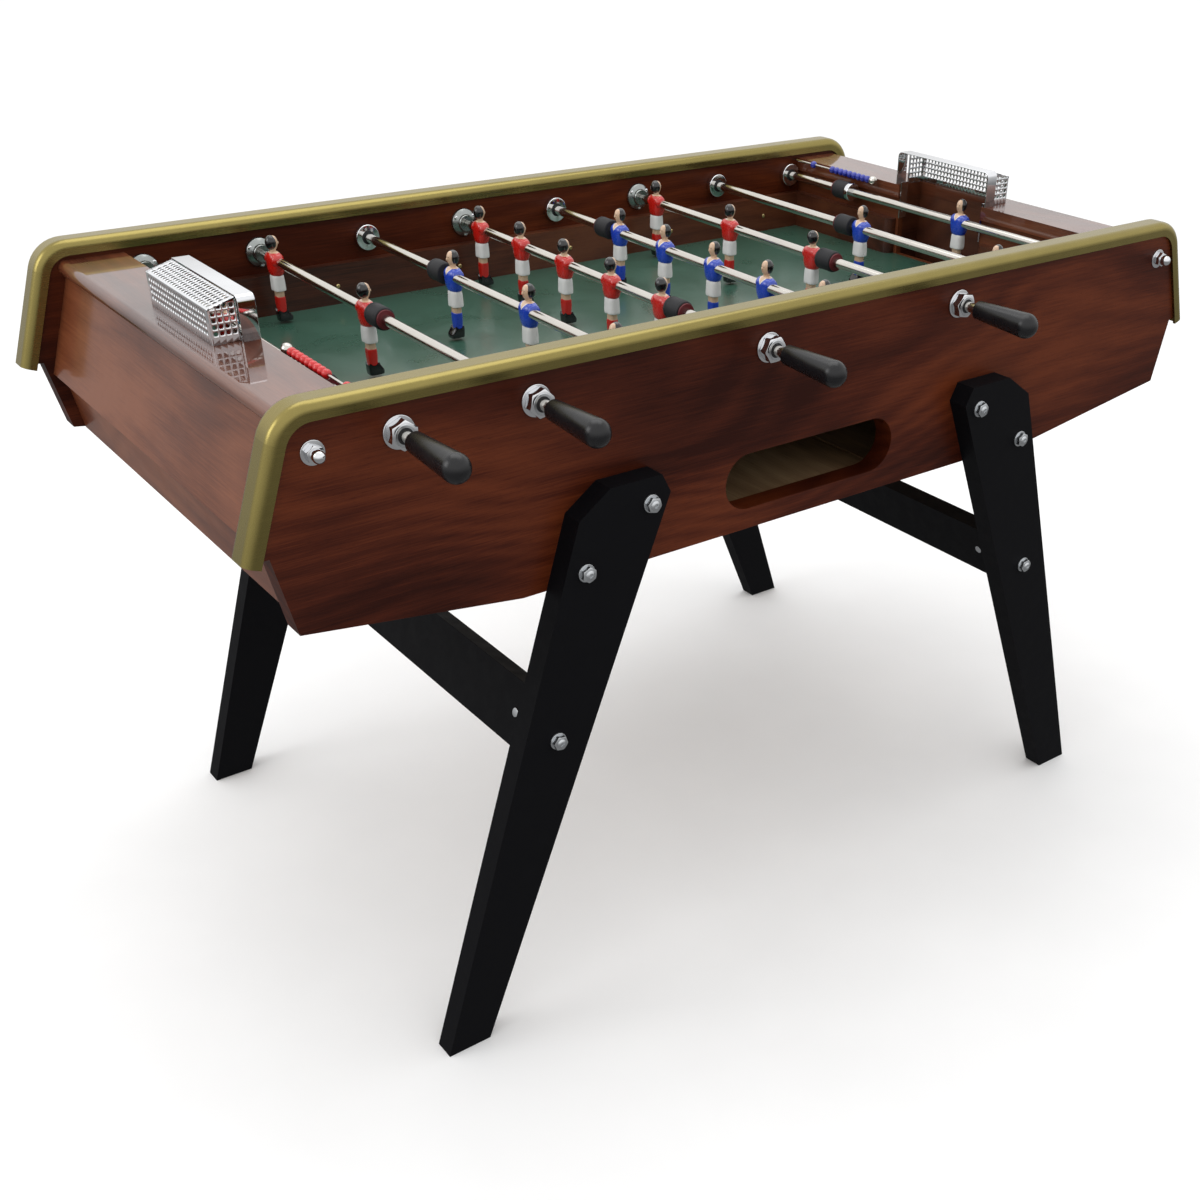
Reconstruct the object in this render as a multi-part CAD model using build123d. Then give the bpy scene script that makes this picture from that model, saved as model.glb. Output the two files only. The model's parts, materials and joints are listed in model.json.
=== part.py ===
from build123d import *
import os
from math import atan, cos, degrees, sin

os.makedirs("parts", exist_ok=True)

# Frame: X along the table's length, Y across it, Z up, origin on the floor under the middle.
# A half turn about Z swaps the two teams. Red handles are on the near side (-Y), blue on the far.

# ---- cabinet ----
WALL_T = 30.0                 # side wall thickness
WALL_IN = 346.0               # inner face of a side wall, from the middle
WALL_OUT = WALL_IN + WALL_T
WALL_MID = WALL_IN + WALL_T / 2
BOTTOM_Z = 601.0              # flat bottom edge of the side walls
BOTTOM_HALF = 430.0           # half length of that flat edge
CORNER_X, CORNER_Z = 693.0, 637.0    # lower end corner of a side wall
NOTCH_X, NOTCH_Z = 711.0, 728.0      # inner corner of the notch under the rail's end
END_X = 724.0                 # wood under the rail, at the notch
END_SLOPE = 0.372             # how far the end leans inwards per mm of height
TOP_Z = 862.0                 # top of the wood under the rail
TOP_R = 36.0                  # round upper corner of the wood

# ---- rail over a side wall ----
RAIL_T = 14.0                 # thickness over the wood's edge
RAIL_LIP = 4.5                # how far its lips lap down each face
RAIL_W = WALL_T + 8.0         # width across both lips
RAIL_EDGE_R = 10.0           # rounded long edges
RAIL_DROP = 6.0               # how far it runs on past the notch

# ---- playfield and ledges ----
FIELD_Z = 743.0
FIELD_T = 18.0
FIELD_HALF = 586.0
LEDGE_T = 15.0
LEDGE_TOP = 798.0

# ---- table ends ----
END_TOP_IN, END_TOP_OUT = 581.0, 666.0
END_TOP_Z, END_TOP_T = 852.0, 20.0
APRON_LOW = (702.0, 712.0)    # lower outer edge of the apron, X and Z
APRON_TOP_X = 659.0
APRON_T = 19.0
PANEL_TOP_X = 690.0           # sloping lower panel, outer face
PANEL_LOW = (678.0, 634.0)
PANEL_T = 12.0

# ---- goals ----
GOAL_HALF = 91.0              # half width of the mouth
GOAL_WALL_T = 10.0
GOAL_WALL_Z = 690.0           # lower edge, with the ball passage under it
CHUTE_X = 632.0               # front face of the chute's back board
CHUTE_T = 7.0
CHUTE_Z = 651.0
CAGE_BAND = 20.0              # smooth front band of the goal cage
CAGE_BAND_HALF = 98.0
CAGE_BAND_Z = 902.0
CAGE_HALF = 93.0
CAGE_ROOF_Z = 900.0           # roof beside the band
CAGE_BACK_Z = 891.0           # roof at the back, where it is lower
CAGE_T = 2.0
CAGE_TAB_Z = 800.0            # lower end of the tabs down the mouth's sides

# ---- ball return ----
TRAY_HALF = 150.0
FLOOR_T = 10.0
FLOOR_IN_Z = 616.0            # top of the sloping floor beside the tray
FLOOR_OUT = (664.0, 650.0)    # top of the sloping floor at the table's end
TRAY_Z = 614.0
SLOT_HALF, SLOT_Z, SLOT_R = 139.0, 664.0, 36.0

# ---- legs ----
LEG_T = 30.0
LEG_OUTLINE = ((256, 719.5), (327.5, 719.5), (370, 690), (599, 0), (539, 0), (244, 696))
LEG_BOLTS = ((272, 688), (363.5, 626))
BAR_BOLT = (412.5, 417)       # bolt into the crossbar's end
BAR_H, BAR_T, BAR_LEAN = 84.0, 24.0, 0.35
DOWEL_IN = 50.0               # cross dowel, in from the crossbar's end
BOLT_R, WASHER_R, WASHER_T = 5.0, 11.0, 2.0
HEX_AF, HEX_H = 17.0, 6.5
APRON_BOLT = (652.0, 826.0)

# ---- rods ----
PITCH = 160.0
ROD_Z = 827.0
ROD_R = 6.5
BORE_R = 4.8                  # bore of the sliding tube
FIT = 0.05                    # radial running clearance
GAP = 0.4                     # clearance along the rod
GUIDE_LEN = 420.0
SLEEVE_R = 12.0
RING_R, RING_T = 17.0, 10.0   # bearing ring inside the wall
NUT_WASHER_R, NUT_WASHER_T = 18.0, 3.0
NUT_AF, NUT_T = 28.0, 13.0
FLANGE_R, FLANGE_T = 20.0, 8.0
HUB_R, HUB_T = 12.0, 4.0
TUBE_END = 318.0              # end of the tube beside the closed wall, at rest
TUBE_TAIL = 470.0             # end of the tube in the handle
GRIP_START, GRIP_FLARE = 410.0, 492.0
GRIP_R0, GRIP_R1 = 11.5, 15.5

# ---- men and collars: places are distances from the middle, towards the closed wall ----
MAN_HALF = 16.5               # half width of a man with room to turn
COLLAR_L, COLLAR_R = 30.0, 14.0
DISC_T, DISC_R = 3.0, 12.0
RING2_T, RING2_R = 9.0, 14.0  # chrome ring of the goalkeeper's collar
GOALIE_COLLAR = -186.0        # start of the goalkeeper's collar
TEAM = {
    "red_goalkeeper": (0, (67,)),
    "red_defence": (1, (290, 15)),
    "blue_attack": (2, (290, 100, -90)),
    "red_midfield": (3, (290, 176, 62, -52, -166)),
    "blue_midfield": (4, (290, 176, 62, -52, -166)),
    "red_attack": (5, (290, 100, -90)),
    "blue_defence": (6, (290, 15)),
    "blue_goalkeeper": (7, (67,)),
}

# ---- score counters ----
WIRE_X, WIRE_Z, WIRE_R = 571.0, 850.5, 1.6
WIRE_END = 143.0
WIRE_BALL_R = 7.0
BEAD_R, BEAD_L, BEAD_BORE = 5.6, 10.4, 1.9
BEAD_COUNT = 9
BEAD_FIRST = WIRE_END + WIRE_BALL_R + 6.0
SINGLE_BEAD = 291.0


def save(name, shapes):
    """Write one node from a list of separate solids."""
    solids = [s for shape in shapes for s in shape.solids()]
    body = solids[0] if len(solids) == 1 else Compound(children=solids)
    export_step(body, f"parts/{name}.step")


def half_turn(shape):
    return Rot(0, 0, 180) * shape


def mirror_x(shape):
    return mirror(shape, about=Plane.YZ)


def plate(points, y0, y1):
    """A prism between two Y planes from an outline in X and Z."""
    outline = make_face(Polyline(*[(x, y0, z) for x, z in points], close=True))
    return extrude(outline, amount=y1 - y0, dir=(0, 1, 0))


def block(x0, x1, y0, y1, z0, z1):
    middle = Pos((x0 + x1) / 2, (y0 + y1) / 2, (z0 + z1) / 2)
    return middle * Box(abs(x1 - x0), abs(y1 - y0), abs(z1 - z0))


def rod_y(x, z, y0, y1, radius):
    return Pos(x, (y0 + y1) / 2, z) * Rot(90, 0, 0) * Cylinder(radius, abs(y1 - y0))


def hex_y(x, z, y0, y1, across_flats):
    """A hexagonal prism along Y."""
    sketch = RegularPolygon(across_flats / 2, 6, major_radius=False)
    solid = extrude(sketch, amount=abs(y1 - y0))
    return Pos(x, max(y0, y1), z) * Rot(90, 0, 0) * solid


# ---------------------------------------------------------------- cabinet
def end_x(z, out=0.0):
    """X of the leaning end of a side wall at height z, moved outwards by out."""
    return END_X + out / cos(atan(END_SLOPE)) - END_SLOPE * (z - NOTCH_Z)


def wall_blank():
    """The near side wall with no holes."""
    right = [(BOTTOM_HALF, BOTTOM_Z), (CORNER_X, CORNER_Z), (NOTCH_X, NOTCH_Z), (END_X, NOTCH_Z),
             (end_x(TOP_Z), TOP_Z)]
    left = [(-x, z) for x, z in reversed(right)]
    wall = plate(right + left, -WALL_OUT, -WALL_IN)
    corners = [e for e in wall.edges().filter_by(Axis.Y) if e.center().Z > TOP_Z - 1]
    return fillet(corners, TOP_R)


def handle_rods(team):
    return [-3.5 * PITCH + PITCH * TEAM[name][0] for name in TEAM if name.startswith(team)]


def drilled_wall():
    """The near side wall bored for its rods and bolts, without the ball slot."""
    wall = wall_blank()
    for x in handle_rods("red"):
        wall -= rod_y(x, ROD_Z, -WALL_OUT - 1, -WALL_IN + 1, SLEEVE_R)
    for side in (-1, 1):
        wall -= rod_y(side * APRON_BOLT[0], APRON_BOLT[1], -WALL_OUT - 1, -WALL_IN + 1, BOLT_R)
        for x, z in LEG_BOLTS:
            wall -= rod_y(side * x, z, -WALL_OUT - 1, -WALL_IN - 6, BOLT_R)
    return wall


def near_wall():
    """The near side wall with the round-ended slot where the balls are taken out."""
    run = SLOT_HALF - SLOT_R
    wall = drilled_wall()
    for side in (-1, 1):
        wall -= rod_y(side * run, SLOT_Z, -WALL_OUT - 1, -WALL_IN + 1, SLOT_R)
    return wall - block(-run, run, -WALL_OUT - 1, -WALL_IN + 1, SLOT_Z - SLOT_R, SLOT_Z + SLOT_R)


def rail():
    """Rounded channel swept over the near wall's ends and top."""
    lean = atan(END_SLOPE)
    foot_z = NOTCH_Z - RAIL_DROP
    start = Vector(-end_x(foot_z), -WALL_MID, foot_z)
    corner = Vector(-end_x(TOP_Z), -WALL_MID, TOP_Z)
    path = FilletPolyline(start, corner, Vector(-corner.X, corner.Y, corner.Z),
                          Vector(-start.X, start.Y, start.Z), radius=TOP_R)
    half, groove = RAIL_W / 2, WALL_T / 2
    outer = Pos(0, (RAIL_T - RAIL_LIP) / 2) * Rectangle(RAIL_W, RAIL_T + RAIL_LIP)
    rounded = fillet([v for v in outer.vertices() if v.Y > 0], RAIL_EDGE_R)
    section = rounded - Pos(0, -RAIL_LIP / 2) * Rectangle(2 * groove, RAIL_LIP)
    base = Plane(origin=start, x_dir=(0, 1, 0), z_dir=(sin(lean), 0, cos(lean)))
    return sweep(base * section, path=path)


def apron_blank():
    """One end's leaning panel with no holes."""
    low_x, low_z = APRON_LOW
    top_z = END_TOP_Z - END_TOP_T
    points = [(low_x, low_z), (APRON_TOP_X, top_z), (APRON_TOP_X - APRON_T, top_z),
              (low_x - APRON_T, low_z)]
    return plate(points, -WALL_IN, WALL_IN)


def end_apron():
    apron = apron_blank()
    for side in (-1, 1):
        apron -= rod_y(*APRON_BOLT, side * WALL_IN, side * (WALL_IN - 52), BOLT_R)
    return apron


def lower_panel():
    low_x, low_z = PANEL_LOW
    points = [(PANEL_TOP_X, APRON_LOW[1]), (low_x, low_z), (low_x - PANEL_T, low_z),
              (PANEL_TOP_X - PANEL_T, APRON_LOW[1])]
    return plate(points, -WALL_IN, WALL_IN)


def end_top():
    """The lacquered top board of one end, notched for the goal."""
    board = block(END_TOP_IN, END_TOP_OUT, -WALL_IN, WALL_IN, END_TOP_Z - END_TOP_T, END_TOP_Z)
    nosing = [e for e in board.edges().filter_by(Axis.Y) if e.center().X > END_TOP_OUT - 1]
    board = fillet(nosing, END_TOP_T / 2 - 0.5)
    return board - block(END_TOP_IN - 1, CHUTE_X, -GOAL_HALF, GOAL_HALF, 800, 900)


def goal_wall():
    board = block(FIELD_HALF, FIELD_HALF + GOAL_WALL_T, -WALL_IN, WALL_IN,
                  GOAL_WALL_Z, END_TOP_Z - END_TOP_T)
    return board - block(FIELD_HALF - 1, FIELD_HALF + GOAL_WALL_T + 1, -GOAL_HALF, GOAL_HALF,
                         FIELD_Z, END_TOP_Z)


def goal_chute():
    """Back board and cheeks that guide the ball down, planed off behind to suit the apron."""
    inner_x = FIELD_HALF + GOAL_WALL_T
    top = END_TOP_Z - END_TOP_T
    outer = block(inner_x, CHUTE_X + CHUTE_T, -GOAL_HALF - CHUTE_T, GOAL_HALF + CHUTE_T,
                  CHUTE_Z, top)
    shaft = block(inner_x - 1, CHUTE_X, -GOAL_HALF, GOAL_HALF, CHUTE_Z - 1, top + 1)
    return outer - shaft - apron_blank()


def ledges():
    """Two long ledges on the side walls and four short ones beside the goals."""
    z0, z1 = FIELD_Z, LEDGE_TOP
    long_ledge = block(-FIELD_HALF, FIELD_HALF, WALL_IN - LEDGE_T, WALL_IN, z0, z1)
    short = block(FIELD_HALF - LEDGE_T, FIELD_HALF, GOAL_HALF + 6, WALL_IN - LEDGE_T, z0, z1)
    nose = [e for e in short.edges().filter_by(Axis.Z)
            if e.center().X < FIELD_HALF - 1 and e.center().Y < GOAL_HALF + 7]
    short = fillet(nose, LEDGE_T - 2)
    mirrored = mirror(short, about=Plane.XZ)
    return [long_ledge, half_turn(long_ledge), short, mirrored, half_turn(short),
            half_turn(mirrored)]


def goal_cage():
    """Chrome goal box, open at the front and underneath, with tabs down the mouth."""
    front = END_TOP_IN
    back = front + CAGE_BAND
    band = block(front, back, -CAGE_BAND_HALF, CAGE_BAND_HALF, END_TOP_Z, CAGE_BAND_Z)
    band -= block(front - 1, back + 1, -CAGE_BAND_HALF + CAGE_T, CAGE_BAND_HALF - CAGE_T,
                  END_TOP_Z - 1, CAGE_BAND_Z - CAGE_T)
    depth = CHUTE_X + CAGE_T
    start = back - CAGE_T
    outside = [(start, END_TOP_Z), (start, CAGE_ROOF_Z), (depth, CAGE_BACK_Z),
               (depth, END_TOP_Z)]
    inside = [(start - 1, END_TOP_Z - 1), (start - 1, CAGE_ROOF_Z - CAGE_T),
              (depth - CAGE_T, CAGE_BACK_Z - CAGE_T), (depth - CAGE_T, END_TOP_Z - 1)]
    box = plate(outside, -CAGE_HALF, CAGE_HALF)
    box -= plate(inside, -CAGE_HALF + CAGE_T, CAGE_HALF - CAGE_T)
    frame = block(start, back, -CAGE_BAND_HALF, CAGE_BAND_HALF, END_TOP_Z, CAGE_BAND_Z)
    frame -= block(start - 1, back + 1, -CAGE_HALF + CAGE_T, CAGE_HALF - CAGE_T,
                   END_TOP_Z - 1, CAGE_ROOF_Z - CAGE_T)
    cage = band + box + frame
    for side in (-1, 1):
        hang = side * (GOAL_HALF - CAGE_T)
        cage += block(front + 3, front + 19, hang, side * GOAL_HALF, CAGE_TAB_Z, END_TOP_Z + 4)
        cage += block(front + 3, front + 19, hang, side * CAGE_BAND_HALF, END_TOP_Z,
                      END_TOP_Z + 2)
    return cage


def ball_floor():
    out_x, out_z = FLOOR_OUT
    points = [(TRAY_HALF, FLOOR_IN_Z), (out_x, out_z), (out_x, out_z - FLOOR_T),
              (TRAY_HALF, FLOOR_IN_Z - FLOOR_T)]
    return plate(points, -WALL_IN, WALL_IN)


def ball_tray():
    return block(-TRAY_HALF, TRAY_HALF, -WALL_IN, WALL_IN, TRAY_Z - FLOOR_T, TRAY_Z)


# ---------------------------------------------------------------- legs and bolts
def leg():
    """Near right leg, with its three bolt holes."""
    blank = plate(LEG_OUTLINE, -WALL_OUT - LEG_T, -WALL_OUT)
    for x, z in (*LEG_BOLTS, BAR_BOLT):
        blank -= rod_y(x, z, -WALL_OUT - LEG_T - 1, -WALL_OUT + 1, BOLT_R)
    return blank


def four_corners(shape):
    return [shape, mirror_x(shape), half_turn(shape), half_turn(mirror_x(shape))]


def crossbar():
    x, z = BAR_BOLT
    tilt = Rot(0, -degrees(atan(BAR_LEAN)), 0)
    bar = Pos(x, 0, z) * tilt * Box(BAR_T, 2 * WALL_OUT, BAR_H)
    for side in (-1, 1):
        bar -= rod_y(x, z, side * WALL_OUT, side * (WALL_OUT - DOWEL_IN), BOLT_R)
        bar -= dowel(side, BAR_T + 2)
    return bar


def dowel(side, length):
    x, z = BAR_BOLT
    tilt = Rot(0, -degrees(atan(BAR_LEAN)), 0)
    return Pos(x, side * (WALL_OUT - DOWEL_IN), z) * tilt * Rot(0, 90, 0) * Cylinder(6, length)


def leg_bolt(x, z, shank_end):
    """Hexagon bolt with its washer, entering from the near leg's outer face."""
    face = -WALL_OUT - LEG_T
    washer = rod_y(x, z, face - WASHER_T, face, WASHER_R)
    head = hex_y(x, z, face - WASHER_T - HEX_H, face - WASHER_T, HEX_AF)
    return washer + head + rod_y(x, z, face, shank_end, BOLT_R)


def leg_bolts():
    bolts = []
    for x, z in LEG_BOLTS:
        bolts += four_corners(leg_bolt(x, z, -WALL_IN - 6))
    bolts += four_corners(leg_bolt(*BAR_BOLT, -WALL_OUT + DOWEL_IN - 6))
    bolts += four_corners(dowel(-1, BAR_T - 1))
    return bolts


def apron_bolt():
    """Washer, nut and domed nut on a stud into the end of the apron."""
    x, z = APRON_BOLT
    face = -WALL_OUT
    washer = rod_y(x, z, face - WASHER_T, face, WASHER_R + 2)
    nut = hex_y(x, z, face - WASHER_T - 7, face - WASHER_T, HEX_AF)
    dome = Pos(x, face - WASHER_T - 13, z) * Sphere(7)
    stem = rod_y(x, z, face - WASHER_T - 13, -WALL_IN + 50, BOLT_R)
    return washer + nut + dome + stem


# ---------------------------------------------------------------- rods, along Y for the red team
def bearing(x):
    """Flanged bush, washer and nut where a red rod leaves the near wall."""
    bore = rod_y(x, ROD_Z, -WALL_OUT - 40, -WALL_IN + 40, ROD_R + FIT)
    nut_start = -WALL_OUT - NUT_WASHER_T
    ring = rod_y(x, ROD_Z, -WALL_IN, -WALL_IN + RING_T, RING_R)
    sleeve = rod_y(x, ROD_Z, nut_start - NUT_T, -WALL_IN, SLEEVE_R)
    bush = ring + sleeve - bore
    around = rod_y(x, ROD_Z, -WALL_OUT - 40, -WALL_IN, SLEEVE_R)
    washer = rod_y(x, ROD_Z, nut_start, -WALL_OUT, NUT_WASHER_R) - around
    nut = hex_y(x, ROD_Z, nut_start - NUT_T, nut_start, NUT_AF) - around
    return [bush, washer, nut]


def end_flange(x):
    """Flange on the far wall that holds a red rod's guide."""
    disc = rod_y(x, ROD_Z, WALL_IN - FLANGE_T, WALL_IN, FLANGE_R)
    hub = rod_y(x, ROD_Z, WALL_IN - FLANGE_T - HUB_T, WALL_IN - FLANGE_T, HUB_R)
    return disc + hub - rod_y(x, ROD_Z, WALL_IN - 20, WALL_IN - 2, BORE_R - FIT)


def guide_rod(x):
    return rod_y(x, ROD_Z, WALL_IN - 2, WALL_IN - 2 - GUIDE_LEN, BORE_R - 2 * FIT)


def tube(x):
    outer = rod_y(x, ROD_Z, TUBE_END, -TUBE_TAIL, ROD_R)
    return outer - rod_y(x, ROD_Z, TUBE_END + 1, -TUBE_TAIL + 20, BORE_R)


def handle(x):
    """Flared grip with a domed end, bored for the tube."""
    length = GRIP_FLARE - GRIP_START
    cone = Pos(x, -GRIP_START - length / 2, ROD_Z) * Rot(90, 0, 0) * Cone(GRIP_R0, GRIP_R1, length)
    cone = chamfer(cone.edges().sort_by(Axis.Y)[-1], 2)
    dome = Pos(x, -GRIP_FLARE, ROD_Z) * Sphere(GRIP_R1)
    return cone + dome - rod_y(x, ROD_Z, -GRIP_START + 1, -TUBE_TAIL, ROD_R + FIT)


def man():
    """One man facing +X with the rod's axis along Y through his chest at the origin."""
    torso = [(12, 12, 11), (8, 27, 17), (2, 32, 21), (-8, 28, 20), (-18, 22, 17)]
    shorts = [(-16, 20, 15), (-37, 21, 16)]
    legs = [(-35, 16, 12), (-47, 14, 11), (-58, 15, 12), (-70, 13, 11)]
    body = None
    for sections in (torso, shorts, legs):
        faces = [Pos(0, 0, z) * Ellipse(depth / 2, width / 2) for z, width, depth in sections]
        piece = loft(faces, ruled=True)
        body = piece if body is None else body + piece
    body += Pos(0, 0, 16) * Cylinder(4, 16)
    for z in (19.5, 27):
        body += Pos(0, 0, z) * Sphere(7)
    body += Pos(0, 0, 23.25) * Cylinder(7, 7.5)
    side = make_face(Polyline((-7, -80), (13, -80), (12, -74), (3, -64), (-6, -66), close=True))
    boot = extrude(side, amount=8, both=True)
    body += Rot(90, 0, 0) * boot
    return body - Rot(90, 0, 0) * Cylinder(ROD_R + FIT, 60)


def players(x, places):
    return [Pos(x, y, ROD_Z) * man() for y in places]


def collar(x, places, goalkeeper):
    """Rubber sleeve on the handle side of the last man, with its end disc or ring."""
    start = GOALIE_COLLAR if goalkeeper else min(places) - MAN_HALF - GAP
    bore = rod_y(x, ROD_Z, start + 20, start - COLLAR_L - 20, ROD_R + FIT)
    solids = []
    if goalkeeper:
        solids.append(rod_y(x, ROD_Z, start + RING2_T, start, RING2_R) - bore)
    solids.append(rod_y(x, ROD_Z, start, start - COLLAR_L, COLLAR_R) - bore)
    disc_start = start - COLLAR_L
    solids.append(rod_y(x, ROD_Z, disc_start, disc_start - DISC_T, DISC_R) - bore)
    return solids


# ---------------------------------------------------------------- score counters
def score_wire():
    """Counter wire at the left end, from the near wall to its end ball."""
    wire = rod_y(-WIRE_X, WIRE_Z, -WALL_IN, -WIRE_END, WIRE_R)
    return wire + Pos(-WIRE_X, -WIRE_END, WIRE_Z) * Sphere(WIRE_BALL_R)


def bead(y):
    shape = Pos(-WIRE_X, -y, WIRE_Z) * scale(Sphere(1), by=(BEAD_R, BEAD_L / 2, BEAD_R))
    return shape - rod_y(-WIRE_X, WIRE_Z, -y - 10, -y + 10, BEAD_BORE)


# ---------------------------------------------------------------- write every node
save("near_side_wall", [near_wall()])
save("far_side_wall", [half_turn(drilled_wall())])
save("near_rail", [rail()])
save("far_rail", [half_turn(rail())])
save("end_aprons", [end_apron(), half_turn(end_apron())])
save("lower_end_panels", [lower_panel(), half_turn(lower_panel())])
save("right_end_top", [end_top()])
save("left_end_top", [half_turn(end_top())])
save("goal_walls", [goal_wall(), half_turn(goal_wall())])
save("goal_chutes", [goal_chute(), half_turn(goal_chute())])
save("right_goal_cage", [goal_cage()])
save("left_goal_cage", [half_turn(goal_cage())])
save("playfield", [block(-FIELD_HALF, FIELD_HALF, -WALL_IN, WALL_IN, FIELD_Z - FIELD_T, FIELD_Z)])
save("ledges", ledges())
save("ball_tray", [ball_tray()])
save("ball_floors", [ball_floor(), half_turn(ball_floor())])
save("legs", four_corners(leg()))
save("crossbars", [crossbar(), half_turn(crossbar())])
save("leg_bolts", leg_bolts())
save("apron_bolts", four_corners(apron_bolt()))

red_rods = handle_rods("red")
bearings = [solid for x in red_rods for solid in bearing(x)]
save("rod_bearings", bearings + [half_turn(solid) for solid in bearings])
flanges = [end_flange(x) for x in red_rods]
save("end_flanges", flanges + [half_turn(solid) for solid in flanges])
guides = [guide_rod(x) for x in red_rods]
save("guide_rods", guides + [half_turn(solid) for solid in guides])

for name, (index, places) in TEAM.items():
    red = name.startswith("red")
    x = (index - 3.5) * PITCH * (1 if red else -1)
    nodes = {
        "tube": [tube(x)],
        "handle": [handle(x)],
        "players": players(x, places),
        "collar": collar(x, places, name.endswith("goalkeeper")),
    }
    for piece, solids in nodes.items():
        save(f"{name}_{piece}", solids if red else [half_turn(solid) for solid in solids])

save("score_wires", [score_wire(), half_turn(score_wire())])
stock = [bead(BEAD_FIRST + i * (BEAD_L + 0.4)) for i in range(BEAD_COUNT)]
single = bead(SINGLE_BEAD)
save("red_stock_beads", stock)
save("red_goal_bead", [single])
save("blue_stock_beads", [half_turn(solid) for solid in stock])
save("blue_goal_bead", [half_turn(single)])
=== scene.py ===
import json
import math

import bmesh
import bpy
from mathutils import Matrix, Vector


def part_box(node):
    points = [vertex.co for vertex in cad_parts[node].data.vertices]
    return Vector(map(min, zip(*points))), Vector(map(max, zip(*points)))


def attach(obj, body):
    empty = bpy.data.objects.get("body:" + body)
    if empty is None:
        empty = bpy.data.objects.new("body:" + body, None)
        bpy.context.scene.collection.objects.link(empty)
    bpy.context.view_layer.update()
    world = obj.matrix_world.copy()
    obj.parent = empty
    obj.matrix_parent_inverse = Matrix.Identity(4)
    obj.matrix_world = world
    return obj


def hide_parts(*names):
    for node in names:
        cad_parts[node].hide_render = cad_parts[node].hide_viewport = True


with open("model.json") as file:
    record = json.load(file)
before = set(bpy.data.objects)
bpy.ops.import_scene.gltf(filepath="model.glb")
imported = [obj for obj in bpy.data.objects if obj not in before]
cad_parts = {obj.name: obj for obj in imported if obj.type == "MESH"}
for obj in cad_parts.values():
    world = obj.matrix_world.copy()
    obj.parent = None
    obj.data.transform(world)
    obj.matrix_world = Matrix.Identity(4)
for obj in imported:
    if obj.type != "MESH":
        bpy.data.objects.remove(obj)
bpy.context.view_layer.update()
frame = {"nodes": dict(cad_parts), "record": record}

NODES = frame["nodes"]
BODY_OF = {node: body for body, nodes in frame["record"]["behaviour"]["bodies"].items()
           for node in nodes}
MM = 0.001
HALF_TURN = Matrix.Rotation(math.pi, 4, "Z")
HAIR, SKIN, SHIRT, SHORTS, SOCKS, LIPS = range(6)
BAND_DEPTH = 0.020      # smooth front band of a goal cage
MOUTH_HALF = 0.091      # half width of the goal mouth


# ---------------------------------------------------------------- camera, light and floor
def make_camera():
    """Seen from off the near left corner, above the rails, with a slight roll."""
    azimuth, elevation, roll = (math.radians(a) for a in (39.25, 33.65, 1.624))
    forward = Vector((math.sin(azimuth) * math.cos(elevation),
                      math.cos(azimuth) * math.cos(elevation), -math.sin(elevation)))
    right = Vector((math.cos(azimuth), -math.sin(azimuth), 0))
    up = right.cross(forward)
    across = right * math.cos(roll) + up * math.sin(roll)
    upward = up * math.cos(roll) - right * math.sin(roll)
    data = bpy.data.cameras.new("camera")
    data.sensor_width, data.lens = 36.0, 42.6
    data.shift_x, data.shift_y = -0.1103, 0.1304
    data.clip_start, data.clip_end = 0.05, 100
    camera = bpy.data.objects.new("camera", data)
    matrix = Matrix((across, upward, -forward)).transposed().to_4x4()
    matrix.translation = Vector((-1.153, -1.6443, 1.3516))
    camera.matrix_world = matrix
    bpy.context.scene.collection.objects.link(camera)
    bpy.context.scene.camera = camera


def area_light(name, place, target, size, power):
    data = bpy.data.lights.new(name, "AREA")
    data.shape = "RECTANGLE"
    data.size, data.size_y = size
    data.energy = power
    light = bpy.data.objects.new(name, data)
    light.location = place
    light.rotation_euler = (Vector(target) - Vector(place)).to_track_quat("-Z", "Y").to_euler()
    light.visible_camera = False
    bpy.context.scene.collection.objects.link(light)


def make_world():
    """A pale studio: bright above and behind the table, darker low down in front of it."""
    world = bpy.data.worlds.new("studio")
    world.use_nodes = True
    tree = world.node_tree
    background = tree.nodes["Background"]
    background.inputs["Color"].default_value = (1, 1, 1, 1)
    direction = tree.nodes.new("ShaderNodeTexCoord").outputs["Generated"]
    split = tree.nodes.new("ShaderNodeSeparateXYZ")
    tree.links.new(direction, split.inputs[0])
    height = tree.nodes.new("ShaderNodeMapRange")
    for socket, value in (("From Min", -0.30), ("From Max", 0.30), ("To Min", 0.25),
                          ("To Max", 1.15)):
        height.inputs[socket].default_value = value
    tree.links.new(split.outputs["Z"], height.inputs["Value"])
    rays = tree.nodes.new("ShaderNodeLightPath")
    seen = tree.nodes.new("ShaderNodeMix")
    tree.links.new(rays.outputs["Is Camera Ray"], seen.inputs[0])
    tree.links.new(height.outputs[0], seen.inputs[2])
    seen.inputs[3].default_value = 1.0
    tree.links.new(seen.outputs[0], background.inputs["Strength"])
    bpy.context.scene.world = world


def make_floor(material):
    half_size = 40
    bm = bmesh.new()
    bmesh.ops.create_grid(bm, x_segments=8, y_segments=8, size=half_size)
    mesh = bpy.data.meshes.new("floor")
    bm.to_mesh(mesh)
    mesh.materials.append(material)
    floor = bpy.data.objects.new("floor", mesh)
    floor.location.z = -0.0005
    floor.visible_glossy = False
    bpy.context.scene.collection.objects.link(floor)


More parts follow.
